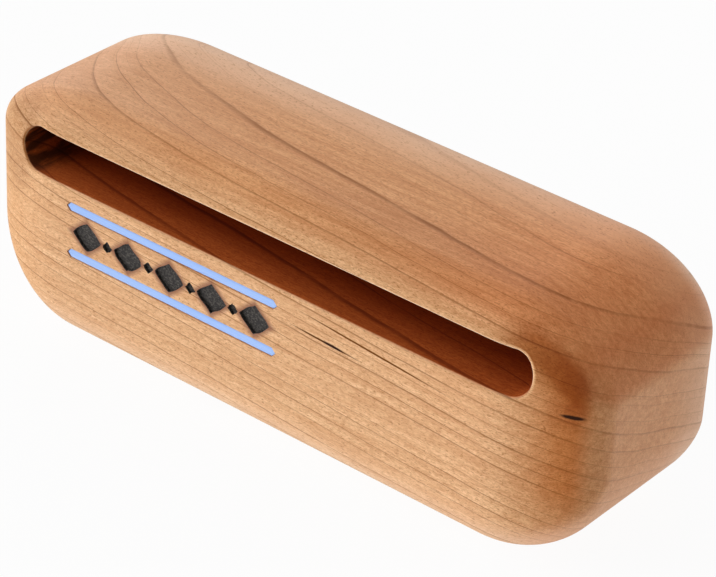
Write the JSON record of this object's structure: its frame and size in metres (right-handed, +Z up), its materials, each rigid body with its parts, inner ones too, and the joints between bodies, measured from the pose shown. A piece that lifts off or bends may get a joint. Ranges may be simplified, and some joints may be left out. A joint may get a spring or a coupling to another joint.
{
  "type": "woodblock",
  "caption": "Rounded hardwood percussion block with a long blind slot along the front under its thin top wall, and a pressed and painted border below the slot.",
  "frame": {"origin": "centre of the flat underside, at the level that the block stands on", "axes": "+X along the length, towards the right end seen from the front; +Y from the slotted front to the back; +Z up"},
  "size_m": [0.182, 0.061, 0.064],
  "materials": {
    "hardwood": "oiled satin, fine dark growth lines along the length",
    "border_paint": "flat light-blue paint film on wood"
  },
  "bodies": {
    "root": {"block": "hardwood", "painted_stripes": "border_paint"}
  },
  "joints": []
}
